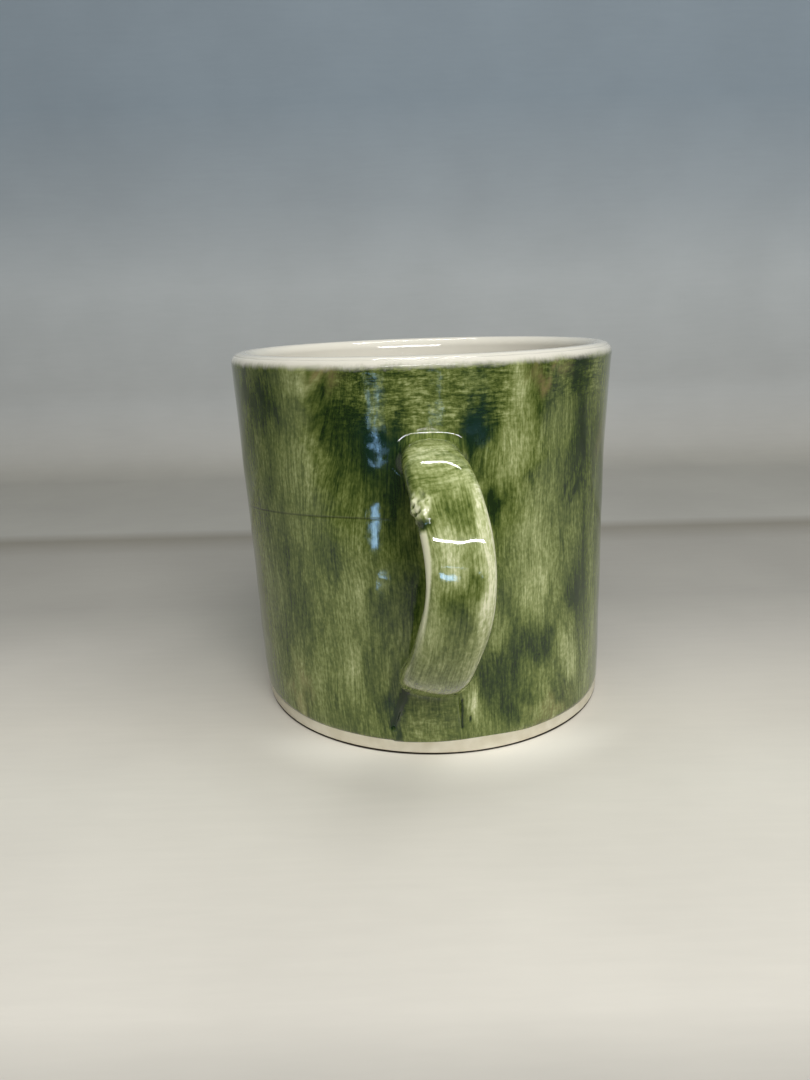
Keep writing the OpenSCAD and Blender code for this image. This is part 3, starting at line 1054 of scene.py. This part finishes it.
def make_stage():
    """Floor that curves up into a backdrop, in metres."""
    half, front, back, top = 1.5, -0.9, 0.32, 1.2
    curve, steps = 0.05, 12
    profile = [(front, 0.0), (back - curve, 0.0)]
    for i in range(1, steps + 1):
        turn = math.pi / 2 * i / steps
        profile.append((back - curve + curve * math.sin(turn), curve * (1 - math.cos(turn))))
    profile.append((back, top))
    points = [(x, y, z) for y, z in profile for x in (-half, half)]
    faces = [(2 * i, 2 * i + 1, 2 * i + 3, 2 * i + 2) for i in range(len(profile) - 1)]
    mesh = bpy.data.meshes.new("stage")
    mesh.from_pydata(points, [], faces)
    mesh.polygons.foreach_set("use_smooth", [True] * len(faces))
    stage = bpy.data.objects.new("stage", mesh)
    bpy.context.scene.collection.objects.link(stage)
    mesh.materials.append(stage_material())


def area_light(name, place_, target, size, power, colour=(1, 1, 1),
               diffuse=True, glossy=True, roll=0, only=()):
    """Rectangular light aimed at a target; where `only` lists pieces, nothing else is lit by it."""
    data = bpy.data.lights.new(name, "AREA")
    data.shape = "RECTANGLE"
    data.size, data.size_y = size
    data.energy = power
    data.color = colour
    light = bpy.data.objects.new(name, data)
    light.location = place_
    light.rotation_euler = (Vector(target) - Vector(place_)).to_track_quat("-Z", "Y").to_euler()
    light.rotation_euler.rotate_axis("Z", math.radians(roll))
    light.visible_camera = False
    light.visible_diffuse = diffuse
    light.visible_glossy = glossy
    bpy.context.scene.collection.objects.link(light)
    if only:
        receivers = bpy.data.collections.new(name)
        for piece in only:
            receivers.objects.link(piece)
        light.light_linking.receiver_collection = receivers


def make_lights(base, wall, liner, handle):
    """Soft studio light, and lamps that show mainly as reflections, in metres and watts."""
    world = bpy.data.worlds.new("world")
    bpy.context.scene.world = world
    world.use_nodes = True
    background = world.node_tree.nodes["Background"]
    background.inputs["Color"].default_value = rgb(184, 188, 188)
    background.inputs["Strength"].default_value = 0.14
    area_light("sky", (0, 0, 1.5), (0, 0, 0), (2.0, 2.0), 4.0, glossy=False)
    area_light("ceiling", (0.16, -0.34, 0.85), (0, -0.03, 0), (0.9, 0.6), 5.4, glossy=False)
    area_light("front", (0.12, -0.76, 0.52), (0, 0, 0.03), (0.6, 0.4), 5.4, glossy=False)
    area_light("overhead_tube", (0.03, 0.15, 0.62), (0, -0.04, 0.07), (0.32, 0.016), 1.1, diffuse=False)
    area_light("front_tube", (0.02, -0.60, 0.232), (0, -0.07, 0.06), (0.86, 0.017), 5.0,
               diffuse=False, roll=3.7, only=[handle])
    area_light("rim_tube", (-0.02, -0.55, 0.42), (0, -0.07, 0.08), (0.45, 0.016), 0.9,
               diffuse=False, only=[wall])
    area_light("inner_bar", (0.05, -0.336, 0.209), (-0.004, 0.041, 0.085), (0.30, 0.12), 2.6,
               diffuse=False, only=[liner])
    area_light("back_fill", (-0.08, 0.30, 0.16), (0, 0, 0.04), (0.4, 0.2), 1.6,
               glossy=False, only=[wall, base])


# Daylight from a window and its gaps, mirrored as small blue-white glints: place, point it faces,
# width and height in mm, roll in degrees, strength
HANDLE_GLINTS = [
    ((-45, -230, 16), (0, -74, 53), (66, 12), 0, 1.3),
    ((-34, -239, 37), (0, -74, 54), (62, 1.4), 0, 1.0),
    ((54, -235, 27), (6, -74, 53), (12, 4), 20, 0.6),
    ((66, -230, 18), (6, -74, 53), (8, 3), -30, 0.5),
]
WALL_GLINTS = [
    ((24, -370, 25), (0, -45, 75), (34, 1.6), 0, 1.4),
    ((46, -368, 13), (1, -45, 78), (2, 14), 0, 1.4),
    ((150, -298, 19), (8, -44, 73), (92, 1.0), 4, 0.15),
    ((156, -300, 14), (8, -44, 73), (70, 0.8), -6, 0.15),
    ((-172, -290, 18), (-13, -44, 78), (11, 3.5), 0, 1.8),
    ((-153, -301, 15), (-12, -44, 75), (10, 3.5), 0, 1.8),
    ((-140, -308, 11), (-11, -44, 73), (34, 3.5), 0, 0.30),
    ((-91, -164, 10), (-13, -43, 52), (13, 14), 18, 1.0),
    ((-56, -125, 5), (-11, -44, 42), (12, 2.4), 0, 0.8),
]
DAYLIGHT = rgb(160, 208, 255)[:3]
GLINT_POWER = 40  # watts per square metre of a glint of strength 1


def make_glints(glints, piece):
    for place_, target, size, roll, strength in glints:
        place_, target, size = [tuple(v * MM for v in values) for values in (place_, target, size)]
        power = GLINT_POWER * strength * size[0] * size[1]
        area_light("glint", place_, target, size, power, DAYLIGHT,
                   diffuse=False, roll=roll, only=[piece])


# -------- put it together


def add_piece(piece, node, material):
    """Hand a finished piece over in place of one part of the frame."""
    piece.data.materials.append(material)
    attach(piece, "root")
    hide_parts(node)
    return piece


def make_mug():
    clay = bare_clay_material()
    green = green_material("green_glaze")
    cream = cream_glaze_material()
    base = add_piece(make_base_slab(), "base_slab", clay)
    add_piece(make_wall_slab(), "wall_slab", clay)
    add_piece(make_floor_coil(), "floor_coil", clay)
    wall = add_piece(make_wall_glaze(), "wall_glaze", green)
    liner = add_piece(make_liner_glaze(), "liner_glaze", cream)
    glaze, upper, strap, lower = make_handle()
    add_piece(upper, "handle_upper_root", clay)
    add_piece(strap, "handle_strap", clay)
    add_piece(lower, "handle_lower_root", clay)
    add_piece(glaze, "handle_glaze", green_material("handle_glaze", handle=True))
    return base, wall, liner, glaze


base_piece, wall_piece, liner_piece, handle_piece = make_mug()
make_stage()
make_lights(base_piece, wall_piece, liner_piece, handle_piece)
make_glints(HANDLE_GLINTS, handle_piece)
make_glints(WALL_GLINTS, wall_piece)
bpy.context.scene.view_settings.view_transform = "Standard"
